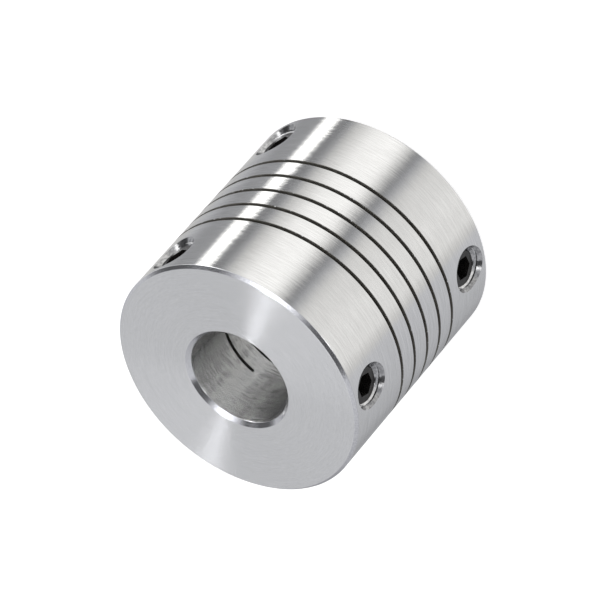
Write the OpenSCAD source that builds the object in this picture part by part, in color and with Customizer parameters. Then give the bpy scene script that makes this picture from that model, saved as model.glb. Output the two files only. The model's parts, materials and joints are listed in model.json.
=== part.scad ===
// Flexible shaft coupling for an encoder, turned from one bar.
// A single right-hand helical slit turns its middle into a coil that bends,
// and two set screws in each hub clamp a shaft in the bore.
// It stands on its lower end face. The origin is the centre of that face,
// and +Z runs along the bore.

/* [Body] */
// Outer diameter of the body
body_d = 25; // [24:0.5:30]
// Length of the body from end face to end face
body_len = 24.1; // [24:0.1:32]
// Width of the chamfer around both outer rims
rim_chamfer = 0.3; // [0.1:0.1:0.6]

/* [Bore] */
// Diameter of the shaft bore in both hubs
bore_d = 10; // [8:0.5:11]
// Width of the chamfer at both mouths of the bore
bore_chamfer = 0.4; // [0.1:0.1:0.6]
// Depth of the shaft bore, from the end face to where it widens
hub_depth = 5.6; // [5.2:0.1:5.8]
// How much deeper the wall lies in the widened middle of the bore
relief = 0.6; // [0.3:0.1:0.8]

/* [Helical slit] */
// Rise of the slit in one turn
slit_pitch = 2.3; // [1.8:0.1:2.4]
// Width of the slit
slit_w = 0.35; // [0.2:0.05:0.6]
// Turns that the cutting blade travels
slit_turns = 4.6; // [3:0.1:4.7]
// Direction, seen from above, in which the slit crosses mid-length
slit_direction = -49; // [-180:1:180]
// Diameter of the round blade, whose edge shapes both ends of the slit
blade_d = 32; // [20:1:50]
// How far the blade cuts past the wall of the widened bore
blade_break = 0.8; // [0.4:0.1:1.2]

/* [Set screws] */
// Thread diameter of the set screws
screw_d = 4; // [3:0.5:4]
// Length of a set screw
screw_len = 6; // [4:0.5:6]
// Depth of the left-hand screws' faces below the body's outer surface
left_recess = 0.7; // [0.4:0.05:1.2]
// Depth of the right-hand screws' faces below the body's outer surface
right_recess = 0.5; // [0.4:0.05:1.2]
// Distance from each end face to its screws' axes
screw_inset = 3; // [2.6:0.1:3.2]
// Angle between the two screws of a hub
screw_spread = 120; // [90:5:180]
// Direction, seen from above, midway between the two screws
screw_direction = -90; // [-180:1:180]
// Diameter of the countersunk mouth of each screw hole
mouth_d = 4.65; // [4.1:0.05:5]
// Full angle of the countersink
mouth_angle = 82; // [60:1:120]
// Play between a screw and its hole, on the diameter
thread_play = 0; // [0:0.01:0.1]
// Width across flats of the hexagon socket
socket_flats = 2; // [1.5:0.1:2]
// Depth of the hexagon socket
socket_depth = 2.2; // [1:0.1:2.5]
// Width of the chamfer at a screw's face
face_chamfer = 0.35; // [0.1:0.05:0.5]
// Diameter of the cup at a screw's tip
cup_d = 2; // [1:0.1:2.2]
// Depth of the cup
cup_depth = 0.5; // [0.2:0.1:0.8]
// Width of the chamfer around the cup
tip_chamfer = 0.75; // [0.3:0.05:0.8]
// Turn of each screw about its own line, which its socket shows
upper_left_turn = 42; // [0:1:360]
upper_right_turn = 5; // [0:1:360]
lower_left_turn = 46; // [0:1:360]
lower_right_turn = 55; // [0:1:360]

/* [Hidden] */
$fn = 144;

// Colours of the finishes
satin_aluminium = [0.78, 0.78, 0.80];
black_oxide = [0.07, 0.07, 0.08];

// Overshoot of a cutter past the surface that it leaves
past = 0.5;

body_r = body_d/2;
bore_r = bore_d/2;
relief_r = bore_r + relief;
mid_z = body_len/2;

// The blade's disc, standing at the end of its travel
blade_r = blade_d/2;
blade_tip_r = relief_r - blade_break;
blade_axis_r = blade_tip_r + blade_r;
blade_stop = 180*slit_turns;
cutter_r = body_r + 2*past;
// Angle past the stop at which the disc leaves the body
blade_exit = acos(
    (blade_axis_r*blade_axis_r + (body_r + past)*(body_r + past) - blade_r*blade_r)
    /(2*blade_axis_r*(body_r + past))
);
slit_reach = blade_stop + blade_exit;
rings = 2*ceil(slit_reach/10);

// Screw holes
mouth_depth = (mouth_d - screw_d)/2/tan(mouth_angle/2);
left_face_r = body_r - left_recess;
right_face_r = body_r - right_recess;
upper_screw_z = body_len - screw_inset;
lower_screw_z = screw_inset;
left_screw = screw_direction - screw_spread/2;
right_screw = screw_direction + screw_spread/2;

// Turns +Z to point outwards from the axis in one direction, at one height
module radially(direction, height) {
    translate([0, 0, height]) rotate([0, 90, direction]) children();
}

// Half section of the body: both hubs, their chamfers and the widened bore
module body_section() {
    polygon([
        [bore_r + bore_chamfer, 0],
        [body_r - rim_chamfer, 0],
        [body_r, rim_chamfer],
        [body_r, body_len - rim_chamfer],
        [body_r - rim_chamfer, body_len],
        [bore_r + bore_chamfer, body_len],
        [bore_r, body_len - bore_chamfer],
        [bore_r, body_len - hub_depth],
        [relief_r, body_len - hub_depth - relief],
        [relief_r, hub_depth + relief],
        [bore_r, hub_depth],
        [bore_r, bore_chamfer]
    ]);
}

// Depth line of the blade: its straight path, then the arc of its edge
function slit_floor_r(angle) =
    abs(angle) <= blade_stop
        ? blade_tip_r
        : let (off = abs(angle) - blade_stop)
            blade_axis_r*cos(off)
            - sqrt(max(0, blade_r*blade_r - pow(blade_axis_r*sin(off), 2)));

// Four corners of the slit's cutter on one radial line
function slit_ring(angle) =
    let (
        turned = slit_direction + angle,
        rise = mid_z + slit_pitch*angle/360,
        floor_r = slit_floor_r(angle)
    ) [
        for (corner = [[floor_r, -1], [cutter_r, -1], [cutter_r, 1], [floor_r, 1]])
            [corner[0]*cos(turned), corner[0]*sin(turned), rise + corner[1]*slit_w/2]
    ];

// The space that the blade clears on its helical path
module slit_cutter() {
    points = [
        for (ring = [0:rings])
            each slit_ring(slit_reach*(2*ring/rings - 1))
    ];
    sides = [
        for (ring = [0:rings - 1], side = [0:3])
            let (
                a = 4*ring + side,
                b = 4*ring + (side + 1)%4
            ) each [[a, b, b + 4], [a, b + 4, a + 4]]
    ];
    last = 4*rings;
    polyhedron(
        points = points,
        faces = concat(
            [[3, 2, 1, 0]],
            sides,
            [[last, last + 1, last + 2, last + 3]]
        )
    );
}

// A threaded hole at its crest-to-crest size, with its countersunk mouth
module screw_hole() {
    cylinder(d = screw_d + thread_play, h = body_r + past);
    translate([0, 0, body_r - mouth_depth])
        cylinder(
            d1 = screw_d,
            d2 = screw_d + 2*(mouth_depth + past)*tan(mouth_angle/2),
            h = mouth_depth + past
        );
}

module coupling_body() {
    color(satin_aluminium)
        difference() {
            rotate_extrude() body_section();
            slit_cutter();
            for (height = [lower_screw_z, upper_screw_z])
                for (direction = [left_screw, right_screw])
                    radially(direction, height) screw_hole();
        }
}

// A cup-point set screw whose face lies at one distance from the body's axis
module set_screw(direction, height, face_r, turn) {
    tip_r = face_r - screw_len;
    screw_r = screw_d/2;
    color(black_oxide)
        radially(direction, height)
            difference() {
                rotate_extrude()
                    polygon([
                        [0, tip_r + cup_depth],
                        [cup_d/2, tip_r],
                        [screw_r - tip_chamfer, tip_r],
                        [screw_r, tip_r + tip_chamfer],
                        [screw_r, face_r - face_chamfer],
                        [screw_r - face_chamfer, face_r],
                        [0, face_r]
                    ]);
                translate([0, 0, face_r - socket_depth])
                    rotate([0, 0, turn])
                        cylinder(
                            d = socket_flats/cos(30),
                            h = socket_depth + past,
                            $fn = 6
                        );
            }
}

module upper_left_set_screw() {
    set_screw(left_screw, upper_screw_z, left_face_r, upper_left_turn);
}

module upper_right_set_screw() {
    set_screw(right_screw, upper_screw_z, right_face_r, upper_right_turn);
}

module lower_left_set_screw() {
    set_screw(left_screw, lower_screw_z, left_face_r, lower_left_turn);
}

module lower_right_set_screw() {
    set_screw(right_screw, lower_screw_z, right_face_r, lower_right_turn);
}

coupling_body();
upper_left_set_screw();
upper_right_set_screw();
lower_left_set_screw();
lower_right_set_screw();
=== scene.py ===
import json
import math

import bmesh
import bpy
from mathutils import Matrix, Vector


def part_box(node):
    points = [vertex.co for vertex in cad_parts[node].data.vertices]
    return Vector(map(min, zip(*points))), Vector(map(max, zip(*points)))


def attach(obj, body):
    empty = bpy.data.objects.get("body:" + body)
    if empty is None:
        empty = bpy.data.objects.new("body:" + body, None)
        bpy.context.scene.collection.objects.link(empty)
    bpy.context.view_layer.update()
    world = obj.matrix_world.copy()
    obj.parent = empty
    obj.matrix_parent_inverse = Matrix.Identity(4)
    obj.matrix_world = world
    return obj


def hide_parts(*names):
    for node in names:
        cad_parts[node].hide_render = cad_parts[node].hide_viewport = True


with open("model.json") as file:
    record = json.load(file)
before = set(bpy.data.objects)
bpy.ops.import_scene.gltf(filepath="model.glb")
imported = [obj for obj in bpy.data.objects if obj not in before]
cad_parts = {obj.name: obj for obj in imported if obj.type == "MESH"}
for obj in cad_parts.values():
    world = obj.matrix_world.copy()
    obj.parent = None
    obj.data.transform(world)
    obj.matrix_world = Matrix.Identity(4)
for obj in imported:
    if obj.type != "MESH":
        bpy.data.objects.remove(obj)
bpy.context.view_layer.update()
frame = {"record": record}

# Shapes are made in millimetres, as on a drawing, and scaled to metres when they are finished
MM = 0.001
mounts = {mount["name"]: mount for mount in frame["record"]["mounts"]}
body_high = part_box("coupling_body")[1]
BODY_R = round(body_high[0] / MM, 3)
BODY_LEN = round(body_high[2] / MM, 3)
MID_Z = BODY_LEN / 2
BORE_R = mounts["upper_bore"]["dims"]["r_mm"]
BORE_CHAMFER = mounts["lower_bore"]["pos_m"][2] / MM
HUB_DEPTH = BORE_CHAMFER + mounts["lower_bore"]["dims"]["length_mm"]
RELIEF = 0.6
RELIEF_R = BORE_R + RELIEF
RIM_CHAMFER = 0.3
EDGE_ROUND = 0.03
BODY_STEPS = 288
# The body's finishes before it is cut, in the order of its materials
OUTSIDE, BORED, CHAMFERED, FACED = range(4)
# Rise of its normal above which a face of the body leans, and above which it is level
LEANING = 0.2
LEVEL = 0.9

# The slit and the round blade that cuts it, a little past the wall of the widened bore
SLIT_PITCH = 2.3
SLIT_W = 0.35
SLIT_TURNS = 4.6
SLIT_DIRECTION = -49
BLADE_R = 16
BLADE_BREAK = 0.8
BLADE_TIP_R = RELIEF_R - BLADE_BREAK
LIP = 0.04
SLIT_STEPS = 144

# Set screws and their threaded holes
SCREW_R = 2
SCREW_LEN = 6
SCREW_INSET = 3
SCREW_DIRECTIONS = {"left": -150, "right": -30}
SCREW_RECESSES = {"left": 0.7, "right": 0.5}
MOUTH_R = 2.325
MOUTH_ANGLE = 82
MOUTH_SLOPE = math.tan(math.radians(MOUTH_ANGLE / 2))
THREAD_PITCH = 0.7
THREAD_ANGLE = 60
THREAD_SLOPE = math.tan(math.radians(THREAD_ANGLE / 2))
THREAD_CREST_R = 1.65
THREAD_PLAY = 0.01
THREAD_START = 3.06
THREAD_STEPS = 48
# Half widths of the groove at the root of the hole's thread and at the crest of the screw's
TAP_HALF = THREAD_PITCH / 16
DIE_HALF = THREAD_PITCH * 7 / 16
# How much deeper the screw's thread is cut than the crest of the hole's
DIE_DEEPER = 0.05
SCREW_STEPS = 96
SOCKET_FLATS = 2
SOCKET_CORNER = 30
SOCKET_R = SOCKET_FLATS / 2 / math.cos(math.radians(SOCKET_CORNER))
SOCKET_DEPTH = 2.2
FACE_CHAMFER = 0.35
TIP_CHAMFER = 0.75
CUP_R = 1
CUP_DEPTH = 0.5
# Each screw's turn about its own line, which its socket and its thread share
SCREW_TURNS = {
    "upper_left_set_screw": 42,
    "upper_right_set_screw": 5,
    "lower_left_set_screw": 46,
    "lower_right_set_screw": 55,
}

# The photograph's point of view
CAMERA_AZIMUTH = -100.95
CAMERA_ELEVATION = 39.97
CAMERA_ROLL = -138.99
CAMERA_AIM = (0.423, -0.040, 12.099)
CAMERA_DISTANCE = 510.72
CAMERA_LENS = 335.7
CAMERA_SENSOR = 36

# The softbox, with its lengths in metres
LAMP_AZIMUTH = -71
LAMP_ELEVATION = 62
LAMP_DISTANCE = 0.5
LAMP_SIZE = 0.2
LAMP_POWER = 0.30

# How far a cutter runs past the surface that it leaves, and past a thread
PAST = 0.5
SHORT_PAST = 0.1
# Corners nearer than this are one
MERGE_WITHIN = 1e-4
AXIS = Vector((0, 0, 1))
ORIGIN = Vector((0, 0, 0))


def away_from_axis(azimuth, elevation):
    """The direction at an azimuth and elevation in degrees."""
    azimuth, elevation = math.radians(azimuth), math.radians(elevation)
    level = math.cos(elevation)
    return Vector((level * math.cos(azimuth), level * math.sin(azimuth), math.sin(elevation)))


def add_camera():
    """The photograph's view: a long lens above the upper end, with the bore pointing down left."""
    away = away_from_axis(CAMERA_AZIMUTH, CAMERA_ELEVATION)
    level = AXIS.cross(away).normalized()
    across = Matrix((level, away.cross(level), away)).transposed()
    camera = bpy.data.objects.new("camera", bpy.data.cameras.new("camera"))
    camera.data.lens = CAMERA_LENS
    camera.data.sensor_width = CAMERA_SENSOR
    camera.data.clip_start = 0.01
    camera.matrix_world = Matrix.LocRotScale(
        Vector(CAMERA_AIM) * MM + away * CAMERA_DISTANCE * MM,
        (across @ Matrix.Rotation(math.radians(CAMERA_ROLL), 3, "Z")).to_quaternion(),
        (1, 1, 1),
    )
    bpy.context.collection.objects.link(camera)
    bpy.context.scene.camera = camera


def new_object(name, bm, material=None):
    """Turns a finished bmesh into an object at the origin."""
    bmesh.ops.recalc_face_normals(bm, faces=bm.faces)
    mesh = bpy.data.meshes.new(name)
    bm.to_mesh(mesh)
    bm.free()
    mesh.materials.append(material)
    made = bpy.data.objects.new(name, mesh)
    bpy.context.collection.objects.link(made)
    return made


def turned(section, steps, closed=True):
    """A shape turned round +Z from its (radius, height) section. An open one ends on the axis."""
    bm = bmesh.new()
    corners = [bm.verts.new((radius, 0, height)) for radius, height in section]
    pairs = list(zip(corners, corners[1:]))
    if closed:
        pairs.append((corners[-1], corners[0]))
    edges = [bm.edges.new(pair) for pair in pairs]
    bmesh.ops.spin(
        bm, geom=corners + edges, cent=ORIGIN, axis=AXIS,
        angle=2 * math.pi, steps=steps, use_merge=True,
    )
    bmesh.ops.remove_doubles(bm, verts=bm.verts, dist=MERGE_WITHIN)
    bmesh.ops.recalc_face_normals(bm, faces=bm.faces)
    return bm


def round_edges(bm, width, segments, least_angle=20):
    """Rounds every edge that turns by more than the least angle, in degrees."""
    bm.normal_update()
    sharp = [edge for edge in bm.edges if edge.calc_face_angle(0) > math.radians(least_angle)]
    bmesh.ops.bevel(
        bm, geom=sharp, offset=width, segments=segments,
        profile=0.5, affect="EDGES", material=-1,
    )


def helical_bar(section, start_angle, turns, pitch, steps_per_turn, height):
    """A closed bar that climbs round +Z from one angle and height. Its section is (radius, height)."""
    bm = bmesh.new()
    face = bm.faces.new([bm.verts.new((radius, 0, z + height)) for radius, z in section])
    start = Matrix.Rotation(start_angle, 3, "Z")
    bmesh.ops.rotate(bm, verts=bm.verts, cent=ORIGIN, matrix=start)
    steps = round(turns * steps_per_turn)
    bmesh.ops.spin(
        bm, geom=bm.verts[:] + bm.edges[:] + [face], cent=ORIGIN, axis=AXIS,
        dvec=AXIS * pitch * turns / steps, angle=2 * math.pi * turns, steps=steps,
    )
    return bm


def carve(piece, cutters):
    """Cuts the piece with all of the cutters at once, and removes them."""
    tray = bpy.data.collections.new("cutters")
    bpy.context.scene.collection.children.link(tray)
    for cutter in cutters:
        bpy.context.collection.objects.unlink(cutter)
        tray.objects.link(cutter)
    cut = piece.modifiers.new("cut", "BOOLEAN")
    cut.operation = "DIFFERENCE"
    cut.solver = "EXACT"
    cut.operand_type = "COLLECTION"
    cut.collection = tray
    cut.material_mode = "TRANSFER"
    shaped = bpy.data.meshes.new_from_object(
        piece.evaluated_get(bpy.context.evaluated_depsgraph_get())
    )
    piece.modifiers.clear()
    piece.data = shaped
    shaped.name = piece.name
    for cutter in cutters:
        bpy.data.objects.remove(cutter)
    bpy.data.collections.remove(tray)


def finish_shape(piece, degrees=10):
    """Scales the piece to metres, with smooth shading that stays crisp at its edges."""
    piece.data.transform(Matrix.Scale(MM, 4))
    piece.data.shade_smooth()
    piece.data.set_sharp_from_angle(angle=math.radians(degrees))


def slit_cutters(sawn_and_shaded, shaded_broken_edge):
    """The space that the blade clears, and the broken edges of its two lips."""
    centre_r = BLADE_TIP_R + BLADE_R
    leave_r = BODY_R + PAST / 4
    stop = math.pi * SLIT_TURNS
    leave = math.acos((centre_r**2 + leave_r**2 - BLADE_R**2) / (2 * centre_r * leave_r))
    turns = (stop + leave) / math.pi
    half = SLIT_W / 2
    lip_r = BODY_R - LIP
    outer_r = BODY_R + PAST
    groove = [(BLADE_TIP_R, -half), (outer_r, -half), (outer_r, half), (BLADE_TIP_R, half)]
    flare = half + outer_r - lip_r
    lips = [(lip_r, -half), (outer_r, -flare), (outer_r, flare), (lip_r, half)]
    cutters = []
    for name, section, finish in (("slit_blade", groove, sawn_and_shaded), ("slit_lips", lips, shaded_broken_edge)):
        bm = helical_bar(
            section, math.radians(SLIT_DIRECTION) - stop - leave, turns, SLIT_PITCH, SLIT_STEPS,
            MID_Z - turns * SLIT_PITCH / 2,
        )
        steps = len(bm.verts) / len(section) - 1
        for index, vert in enumerate(bm.verts):
            ring = index // len(section)
            past_stop = abs(ring / steps - 0.5) * 2 * math.pi * turns - stop
            if past_stop > 0:
                chord = math.sqrt(BLADE_R**2 - (centre_r * math.sin(past_stop))**2)
                edge_r = centre_r * math.cos(past_stop) - chord
                vert.co.xy = vert.co.xy.normalized() * max(vert.co.xy.length, edge_r)
        cutters.append(new_object(name, bm, finish))
    return cutters


def thread_cutter(name, inner, outer, place, finish):
    """A spiral groove round a screw's line, with its (radius, half width) inside and outside."""
    turns = math.ceil((BODY_R + PAST - THREAD_START) / THREAD_PITCH)
    section = [(inner[0], -inner[1]), (outer[0], -outer[1]), outer, inner]
    bm = helical_bar(section, 0, turns, THREAD_PITCH, THREAD_STEPS, THREAD_START)
    bmesh.ops.transform(bm, matrix=place, verts=bm.verts)
    return new_object(name, bm, finish)


def cone_cutter(name, low, high, place, finish, sides=SCREW_STEPS):
    """A round or many-sided punch along a screw's line, from one (radius, height) to another."""
    bm = bmesh.new()
    bmesh.ops.create_cone(
        bm, cap_ends=True, segments=sides, radius1=low[0], radius2=high[0], depth=high[1] - low[1],
        matrix=place @ Matrix.Translation((0, 0, (low[1] + high[1]) / 2)),
    )
    return new_object(name, bm, finish)


def hole_cutters(place, countersunk_in_shade, tapped):
    """The tap drill, the countersink and the tap's spiral groove for one screw hole."""
    outer_r = BODY_R + PAST
    sink_depth = (MOUTH_R - THREAD_CREST_R) / MOUTH_SLOPE
    inner_r = THREAD_CREST_R - SHORT_PAST
    return [
        cone_cutter("tap_drill", (THREAD_CREST_R, 0), (THREAD_CREST_R, outer_r), place, tapped),
        cone_cutter(
            "countersink", (THREAD_CREST_R - PAST * MOUTH_SLOPE, BODY_R - sink_depth - PAST),
            (MOUTH_R + PAST * MOUTH_SLOPE, outer_r), place, countersunk_in_shade,
        ),
        thread_cutter(
            "tap", (inner_r, TAP_HALF + (SCREW_R - inner_r) * THREAD_SLOPE),
            (SCREW_R, TAP_HALF), place, tapped,
        ),
    ]


def screw_place(name):
    """Where a set screw's line runs out from the axis, turned to its socket's angle."""
    level, side = name.split("_")[:2]
    height = SCREW_INSET if level == "lower" else BODY_LEN - SCREW_INSET
    return (
        Matrix.Translation((0, 0, height))
        @ Matrix.Rotation(math.radians(SCREW_DIRECTIONS[side]), 4, "Z")
        @ Matrix.Rotation(math.radians(90), 4, "Y")
        @ Matrix.Rotation(math.radians(SCREW_TURNS[name]), 4, "Z")
    )


def coupling_body(outside, bored, chamfered, faced, sawn_and_shaded, shaded_broken_edge, countersunk_in_shade, tapped):
    """The turned body, with its slit and its threaded holes cut right through."""
    section = [
        (BORE_R + BORE_CHAMFER, 0), (BODY_R - RIM_CHAMFER, 0), (BODY_R, RIM_CHAMFER),
        (BODY_R, BODY_LEN - RIM_CHAMFER), (BODY_R - RIM_CHAMFER, BODY_LEN),
        (BORE_R + BORE_CHAMFER, BODY_LEN), (BORE_R, BODY_LEN - BORE_CHAMFER),
        (BORE_R, BODY_LEN - HUB_DEPTH), (RELIEF_R, BODY_LEN - HUB_DEPTH - RELIEF),
        (RELIEF_R, HUB_DEPTH + RELIEF), (BORE_R, HUB_DEPTH), (BORE_R, BORE_CHAMFER),
    ]
    bm = turned(section, BODY_STEPS)
    bm.normal_update()
    for face in bm.faces:
        if abs(face.normal.z) > LEVEL:
            face.material_index = FACED
        elif abs(face.normal.z) > LEANING:
            face.material_index = CHAMFERED
        elif face.calc_center_median().xy.length < BORE_R + RELIEF:
            face.material_index = BORED
        else:
            face.material_index = OUTSIDE
    round_edges(bm, EDGE_ROUND, segments=2)
    piece = new_object("slit_coupling_body", bm, outside)
    for finish in (bored, chamfered, faced):
        piece.data.materials.append(finish)
    cutters = slit_cutters(sawn_and_shaded, shaded_broken_edge)
    for name in SCREW_TURNS:
        cutters += hole_cutters(screw_place(name), countersunk_in_shade, tapped)
    carve(piece, cutters)
    finish_shape(piece)
    return piece


def set_screw(name, finish):
    """A cup-point set screw in its own hole, with a rolled thread and a hexagon socket."""
    place = screw_place(name)
    face = BODY_R - SCREW_RECESSES[name.split("_")[1]]
    tip = face - SCREW_LEN
    crest_r = SCREW_R - THREAD_PLAY
    bm = turned([
        (0, tip + CUP_DEPTH), (CUP_R, tip), (SCREW_R - TIP_CHAMFER, tip),
        (crest_r, tip + TIP_CHAMFER), (crest_r, face - FACE_CHAMFER),
        (SCREW_R - FACE_CHAMFER, face), (0, face),
    ], SCREW_STEPS, closed=False)
    bmesh.ops.transform(bm, matrix=place, verts=bm.verts)
    piece = new_object(name.replace("set_screw", "socket_screw"), bm, finish)
    outer_r = crest_r + SHORT_PAST
    root_r = THREAD_CREST_R - DIE_DEEPER
    half_outer = DIE_HALF + (outer_r - crest_r) * THREAD_SLOPE
    half_root = half_outer - (outer_r - root_r) * THREAD_SLOPE
    half_pitch = Matrix.Translation((0, 0, THREAD_PITCH / 2))
    corner_first = Matrix.Rotation(math.radians(SOCKET_CORNER), 4, "Z")
    carve(piece, [
        thread_cutter(
            "thread_die", (root_r, half_root), (outer_r, half_outer), place @ half_pitch, finish,
        ),
        cone_cutter(
            "socket_punch", (SOCKET_R, face - SOCKET_DEPTH), (SOCKET_R, face + PAST),
            place @ corner_first, finish, sides=6,
        ),
    ])
    finish_shape(piece, degrees=25)
    return piece


class Wiring:
    """Builds one shader, node by node."""

    def __init__(self, owner):
        owner.use_nodes = True
        self.tree = owner.node_tree
        self.tree.nodes.clear()

    def add(self, kind, settings=None, **inputs):
        """A node with its settings and inputs. An input is a value or another node's socket."""
        made = self.tree.nodes.new(kind)
        for key, value in (settings or {}).items():
            setattr(made, key, value)
        for key, value in inputs.items():
            numbered = key[0] == "n" and key[1:].isdigit()
            socket = made.inputs[int(key[1:]) if numbered else key.replace("_", " ")]
            if isinstance(value, bpy.types.NodeSocket):
                self.tree.links.new(value, socket)
            else:
                socket.default_value = value
        return made

    def maths(self, operation, *values):
        return self.add(
            "ShaderNodeMath", {"operation": operation},
            **{"n%d" % index: value for index, value in enumerate(values)},
        ).outputs[0]


# Share of the radius in a tool mark's place, so that marks also ring the faces and chamfers
RADIUS_SHARE = 1.7


def lathe_noise(w, around, across, detail):
    """Noise in cells of one length round the axis and one width across it, in millimetres."""
    split = w.add(
        "ShaderNodeSeparateXYZ", Vector=w.add("ShaderNodeTexCoord").outputs["Object"]
    ).outputs
    flat = w.add("ShaderNodeCombineXYZ", X=split["X"], Y=split["Y"])
    radius = w.add("ShaderNodeVectorMath", {"operation": "LENGTH"}, n0=flat.outputs[0])
    run = w.maths("MULTIPLY_ADD", radius.outputs["Value"], RADIUS_SHARE, split["Z"])
    squeezed = w.maths("MULTIPLY", run, around / across)
    place = w.add("ShaderNodeCombineXYZ", X=split["X"], Y=split["Y"], Z=squeezed).outputs[0]
    return w.add(
        "ShaderNodeTexNoise", Vector=place, Scale=1 / (around * MM), Detail=detail, Roughness=0.6,
    ).outputs["Fac"]


def two_tone(w, fac, low, dark, high, pale):
    """A ramp from one colour to another over part of a pattern's range."""
    ramp = w.add("ShaderNodeValToRGB", Fac=fac)
    first, last = ramp.color_ramp.elements
    first.position, first.color = low, (*dark, 1)
    last.position, last.color = high, (*pale, 1)
    return ramp.outputs[0]


def bare_metal(w, colour, height, depth, roughness, sway=None, **more):
    """Bare metal with a relief of that depth in millimetres, whose lines may sway by an angle."""
    normal = w.add("ShaderNodeNewGeometry").outputs["Normal"]
    if sway is not None:
        normal = w.add(
            "ShaderNodeVectorRotate", {"rotation_type": "Z_AXIS"}, Vector=normal, Angle=sway,
        ).outputs[0]
    bump = w.add(
        "ShaderNodeBump", Strength=1.0, Distance=depth * MM, Height=height, Normal=normal,
    ).outputs[0]
    shader = w.add(
        "ShaderNodeBsdfPrincipled", Base_Color=colour, Metallic=1.0, Roughness=roughness,
        Normal=bump, **more,
    )
    w.add("ShaderNodeOutputMaterial", Surface=shader.outputs[0])


def round_grain(w):
    """Shader inputs that spread highlights across tool marks which run round the axis."""
    around = w.add("ShaderNodeTangent", {"direction_type": "RADIAL", "axis": "Z"}).outputs[0]
    return {"Anisotropic": 1.0, "Anisotropic_Rotation": 0.25, "Tangent": around}


def turned_aluminium():
    """Satin aluminium with fine tool marks that run round the axis."""
    material = bpy.data.materials.new("turned_aluminium")
    w = Wiring(material)
    lines = lathe_noise(w, around=4.0, across=0.10, detail=1.0)
    chatter = lathe_noise(w, around=1.4, across=0.10, detail=2.0)
    tone = w.maths("MULTIPLY_ADD", lines, 0.5, w.maths("MULTIPLY", chatter, 0.5))
    colour = two_tone(w, tone, 0.36, (0.77, 0.77, 0.77), 0.64, (0.89, 0.89, 0.89))
    height = w.maths("MULTIPLY_ADD", lines, 0.35, chatter)
    sway = w.maths("MULTIPLY_ADD", lines, 0.05, -0.025)
    bare_metal(w, colour, height, depth=0.008, roughness=0.2, sway=sway, **round_grain(w))
    return material


def faced_aluminium():
    """The end faces, turned to a finer finish than the outside."""
    material = bpy.data.materials.new("faced_aluminium")
    w = Wiring(material)
    rings = lathe_noise(w, around=3.0, across=0.09, detail=1.0)
    grain = lathe_noise(w, around=0.5, across=0.12, detail=2.0)
    tone = w.maths("MULTIPLY_ADD", rings, 0.4, w.maths("MULTIPLY", grain, 0.6))
    colour = two_tone(w, tone, 0.36, (0.79, 0.79, 0.79), 0.64, (0.87, 0.87, 0.87))
    bare_metal(w, colour, grain, depth=0.003, roughness=0.2, **round_grain(w))
    return material


def bored_aluminium():
    """The bore's duller wall, with coarse torn tool marks and long bands of painted reflection along
    it.
    """
    material = bpy.data.materials.new("bored_aluminium")
    w = Wiring(material)
    lines = lathe_noise(w, around=1.2, across=0.12, detail=3.0)
    tears = lathe_noise(w, around=0.4, across=0.16, detail=2.0)
    # Painted reflection: long bands of tone along the bore, placed at random, stand in for the bands
    # of reflection along its wall.
    reflection_bands = lathe_noise(w, around=1.2, across=12.0, detail=1.0)
    shade = w.maths("MULTIPLY_ADD", lines, 0.6, w.maths("MULTIPLY", reflection_bands, 0.4))
    colour = two_tone(w, shade, 0.40, (0.66, 0.66, 0.66), 0.54, (1.0, 1.0, 0.99))
    height = w.maths("MULTIPLY_ADD", lines, 0.6, tears)
    bare_metal(w, colour, height, depth=0.05, roughness=0.24, **round_grain(w))
    return material


def chamfered_aluminium():
    """The narrow chamfers, mirror-bright with a fine speckle."""
    material = bpy.data.materials.new("chamfered_aluminium")
    w = Wiring(material)
    speckle = lathe_noise(w, around=0.14, across=0.12, detail=1.0)
    colour = two_tone(w, speckle, 0.40, (0.74, 0.74, 0.77), 0.60, (0.86, 0.86, 0.88))
    bare_metal(w, colour, speckle, depth=0.005, roughness=0.17)
    return material


def shaded_sawn_aluminium():
    """The rough walls of the slit, painted dark and brownish for the shade inside the narrow slit."""
    material = bpy.data.materials.new("shaded_sawn_aluminium")
    w = Wiring(material)
    marks = lathe_noise(w, around=1.0, across=0.14, detail=3.0)
    # Painted shade: the walls are coloured dark for the shade deep inside the narrow slit.
    colour = two_tone(w, marks, 0.35, (0.30, 0.29, 0.26), 0.7, (0.60, 0.58, 0.54))
    bare_metal(w, colour, marks, depth=0.012, roughness=0.55)
    return material


def shaded_broken_edge():
    """The slit's lips, painted dark for the shade at the slit's mouth, with tiny bright burrs that the
    blade left.
    """
    material = bpy.data.materials.new("shaded_broken_edge")
    w = Wiring(material)
    place = w.add("ShaderNodeTexCoord").outputs["Object"]
    burrs = w.add("ShaderNodeTexNoise", Vector=place, Scale=4000.0, Detail=2.0).outputs["Fac"]
    # Painted shade: the lips are dark except for the burrs, for the shade at the slit's mouth.
    colour = two_tone(w, burrs, 0.61, (0.16, 0.155, 0.14), 0.70, (0.80, 0.80, 0.81))
    bare_metal(w, colour, burrs, depth=0.008, roughness=0.45)
    return material


def cut_aluminium(name, dark, pale, depth):
    """A cut wall of a screw hole, mottled where the tool tore it."""
    material = bpy.data.materials.new(name)
    w = Wiring(material)
    place = w.add("ShaderNodeTexCoord").outputs["Object"]
    tears = w.add("ShaderNodeTexNoise", Vector=place, Scale=3600.0, Detail=2.0).outputs["Fac"]
    colour = two_tone(w, tears, 0.42, (dark, dark, dark * 1.02), 0.60, (pale, pale, pale * 1.01))
    bare_metal(w, colour, tears, depth, roughness=0.13)
    return material


def shaded_countersunk_aluminium():
    """The cone at the mouth of a screw hole, painted dark for the shade in the hole."""
    # Painted shade: the cone is coloured much darker than bare aluminium, for the shade in the hole's
    # mouth.
    return cut_aluminium("shaded_countersunk_aluminium", dark=0.36, pale=0.54, depth=0.008)


def tapped_aluminium():
    """The brighter flanks of a cut thread."""
    return cut_aluminium("tapped_aluminium", dark=0.60, pale=0.84, depth=0.01)


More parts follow.
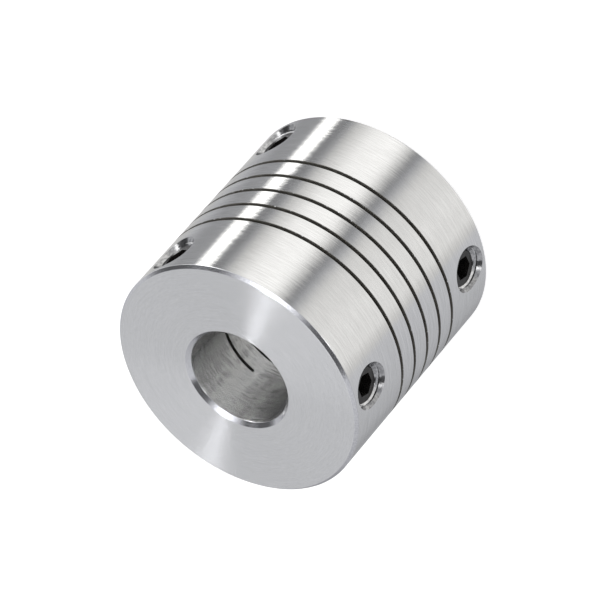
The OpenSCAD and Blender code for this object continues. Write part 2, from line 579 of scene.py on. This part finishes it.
def black_oxide():
    """Blackened steel, faintly brown, a little paler where the key has rubbed it."""
    material = bpy.data.materials.new("black_oxide")
    w = Wiring(material)
    place = w.add("ShaderNodeTexCoord").outputs["Object"]
    mottle = w.add("ShaderNodeTexNoise", Vector=place, Scale=2500.0, Detail=4.0).outputs["Fac"]
    colour = two_tone(w, mottle, 0.35, (0.008, 0.007, 0.007), 0.7, (0.024, 0.022, 0.021))
    bump = w.add("ShaderNodeBump", Strength=0.6, Distance=0.004 * MM, Height=mottle).outputs[0]
    shader = w.add(
        "ShaderNodeBsdfPrincipled", Base_Color=colour, Metallic=0.2,
        Roughness=0.14, Normal=bump,
    )
    w.add("ShaderNodeOutputMaterial", Surface=shader.outputs[0])
    return material


# The studio's soft cards, as the metal shows them to the camera. Each stop is the way that a surface
# faces, in degrees round the axis from the camera's side, and how bright the card is there.
# For upright walls
WALL_CARDS = [
    (-90, 0.40), (-85, 0.38), (-79, 0.36), (-70, 0.47), (-60, 0.52), (-38, 0.60), (-35, 0.66),
    (-30, 0.85), (-14, 0.83), (-6, 0.80), (-2, 0.70), (2, 0.42), (5, 0.22), (8, 0.62), (12, 1.06),
    (16, 1.15), (25, 1.05), (33, 0.64), (37, 0.30), (40, 0.16), (43, 0.22), (43.4, 1.60),
    (50.2, 1.60), (50.6, 0.33), (60, 0.32), (66, 0.42), (70, 0.50), (82, 0.62), (90, 0.70),
]
# For walls that lean back
SLOPE_CARDS = [
    (-180, 0.40), (-100, 0.60), (-60, 0.45), (-35, 0.32), (-24, 0.50), (-20, 2.60), (-17, 2.60),
    (-13, 0.55), (-8, 0.45), (0, 0.55), (10, 0.70), (25, 0.70), (34, 0.80), (37, 1.40), (41, 4.00),
    (47, 4.00), (50, 1.40), (56, 1.10), (62, 0.70), (70, 0.80), (80, 0.90), (95, 0.80), (120, 0.60),
    (180, 0.40),
]
# For edges at about 45 degrees
EDGE_CARDS = [
    (-180, 0.36), (-95, 0.36), (-85, 0.45), (-55, 0.57), (-36, 0.66), (-33, 0.10), (-16, 0.08),
    (-8, 0.16), (0, 0.76), (5, 1.40), (13, 2.60), (20, 1.60), (26, 0.90), (33, 0.38), (40, 0.04),
    (47, 0.22), (54, 0.09), (68, 0.08), (74, 0.24), (80, 0.60), (100, 0.58), (180, 0.36),
]
# For faces a little off level
FACE_CARDS = [
    (-180, 0.56), (-60, 0.70), (-42, 1.10), (-5, 1.40), (5, 1.10), (12, 1.30), (14, 10.00),
    (15.5, 10.00), (17.5, 0.90), (24, 0.60), (30, 0.57), (90, 0.55), (180, 0.56),
]
# For what faces downwards
LOW_CARDS = [
    (-180, 0.30), (-90, 0.50), (-60, 0.60), (-10, 0.95), (2, 0.75), (10, 0.35), (25, 0.16),
    (60, 0.16), (90, 0.25), (180, 0.30),
]
# One even card, for what lies between those edges and faces and for what is quite level
EVEN_CARD = 0.585

# Rise of a surface's normal over which one ring of cards gives way to the next
LOW_TO_WALL = (-0.45, -0.25)
WALL_TO_SLOPE = (0.30, 0.48)
SLOPE_TO_EDGE = (0.61, 0.67)
EDGE_TO_EVEN = (0.79, 0.87)
EVEN_TO_FACE = (0.945, 0.955)
FACE_TO_EVEN = (0.984, 0.998)

# Tints of the cards, and how bright a card is that takes its ring's bright tint
PLAIN = (1, 1, 1)
WARM = (1.0, 0.992, 0.97)
COOL = (0.98, 0.99, 1.025)
BRIGHT_CARD = 0.6
# Light of the room on all that isn't metal, and the floor's own light, which the camera alone sees
ROOM_LIGHT = 0.75
FLOOR_LIGHT = 0.55


def studio():
    """White to the camera, soft cards to the metal, and an even pale light to the rest."""
    world = bpy.data.worlds.new("studio")
    bpy.context.scene.world = world
    w = Wiring(world)
    # The way that a surface faces where it mirrors this direction to the camera
    towards = away_from_axis(CAMERA_AZIMUTH, CAMERA_ELEVATION)
    both = w.add(
        "ShaderNodeVectorMath", {"operation": "ADD"},
        n0=w.add("ShaderNodeTexCoord").outputs["Generated"], n1=towards,
    ).outputs[0]
    facing = w.add("ShaderNodeVectorMath", {"operation": "NORMALIZE"}, n0=both).outputs[0]
    seen_from_camera = w.add(
        "ShaderNodeVectorRotate", {"rotation_type": "Z_AXIS"},
        Vector=facing, Angle=math.radians(-CAMERA_AZIMUTH),
    ).outputs[0]
    split = w.add("ShaderNodeSeparateXYZ", Vector=seen_from_camera).outputs
    share = w.maths("MULTIPLY_ADD", w.maths("ARCTAN2", split["Y"], split["X"]), 0.5 / math.pi, 0.5)

    def ring(cards, bright=PLAIN):
        ramp = w.add("ShaderNodeValToRGB", Fac=share)
        stops = ramp.color_ramp.elements
        stops.remove(stops[-1])
        for index, (degrees, level) in enumerate(cards):
            stop = stops[0] if index == 0 else stops.new(degrees / 360 + 0.5)
            stop.position = degrees / 360 + 0.5
            tint = bright if level > BRIGHT_CARD else COOL
            stop.color = (*(level * part for part in tint), 1)
        return ramp.outputs[0]

    def between(rises, first, second):
        rise = w.add(
            "ShaderNodeMapRange", {"interpolation_type": "SMOOTHSTEP"},
            Value=split["Z"], From_Min=rises[0], From_Max=rises[1],
        ).outputs[0]
        mix = w.add("ShaderNodeMix", {"data_type": "RGBA"}, n0=rise, n6=first, n7=second)
        return mix.outputs[2]

    even = (*(EVEN_CARD * part for part in COOL), 1)
    cards = between(LOW_TO_WALL, ring(LOW_CARDS), ring(WALL_CARDS, WARM))
    cards = between(WALL_TO_SLOPE, cards, ring(SLOPE_CARDS))
    cards = between(SLOPE_TO_EDGE, cards, ring(EDGE_CARDS, COOL))
    cards = between(EDGE_TO_EVEN, cards, even)
    cards = between(EVEN_TO_FACE, cards, ring(FACE_CARDS, COOL))
    cards = between(FACE_TO_EVEN, cards, even)
    path = w.add("ShaderNodeLightPath").outputs
    metal = w.add("ShaderNodeBackground", Color=cards, Strength=1.0).outputs[0]
    plain = w.add("ShaderNodeBackground", Color=(1, 1, 1, 1), Strength=ROOM_LIGHT).outputs[0]
    white = w.add("ShaderNodeBackground", Color=(1, 1, 1, 1), Strength=1.0).outputs[0]
    lit = w.add("ShaderNodeMixShader", Fac=path["Is Glossy Ray"], n1=plain, n2=metal).outputs[0]
    seen = w.add("ShaderNodeMixShader", Fac=path["Is Camera Ray"], n1=lit, n2=white).outputs[0]
    w.add("ShaderNodeOutputWorld", Surface=seen)


def add_floor():
    """A white floor that keeps a faint shadow and that the metal doesn't mirror."""
    bm = bmesh.new()
    bmesh.ops.create_grid(bm, x_segments=1, y_segments=1, size=3)
    material = bpy.data.materials.new("white_floor")
    w = Wiring(material)
    path = w.add("ShaderNodeLightPath").outputs
    pale = w.add("ShaderNodeBsdfDiffuse", Color=(0.8, 0.8, 0.8, 1)).outputs[0]
    seen = w.maths("MULTIPLY", path["Is Camera Ray"], FLOOR_LIGHT)
    glow = w.add("ShaderNodeEmission", Color=(1, 1, 1, 1), Strength=seen).outputs[0]
    both = w.add("ShaderNodeAddShader", n0=pale, n1=glow).outputs[0]
    w.add("ShaderNodeOutputMaterial", Surface=both)
    floor = new_object("floor", bm, material)
    floor.visible_glossy = False
    floor.visible_shadow = False


def add_softbox():
    """A soft lamp above the camera's side, which gives the floor its faint shadow."""
    lamp = bpy.data.lights.new("softbox", "AREA")
    lamp.size = LAMP_SIZE
    lamp.energy = LAMP_POWER
    holder = bpy.data.objects.new("softbox", lamp)
    away = away_from_axis(LAMP_AZIMUTH, LAMP_ELEVATION)
    holder.location = away * LAMP_DISTANCE
    holder.rotation_mode = "QUATERNION"
    holder.rotation_quaternion = away.to_track_quat("Z", "Y")
    holder.visible_glossy = False
    bpy.context.collection.objects.link(holder)


add_camera()
studio()
add_floor()
add_softbox()
bpy.context.scene.view_settings.view_transform = "Standard"

body = coupling_body(
    turned_aluminium(), bored_aluminium(), chamfered_aluminium(), faced_aluminium(),
    shaded_sawn_aluminium(), shaded_broken_edge(), shaded_countersunk_aluminium(), tapped_aluminium(),
)
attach(body, "root")
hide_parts("coupling_body")
screw_finish = black_oxide()
for node_name in SCREW_TURNS:
    screw = set_screw(node_name, screw_finish)
    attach(screw, "root")
    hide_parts(node_name)
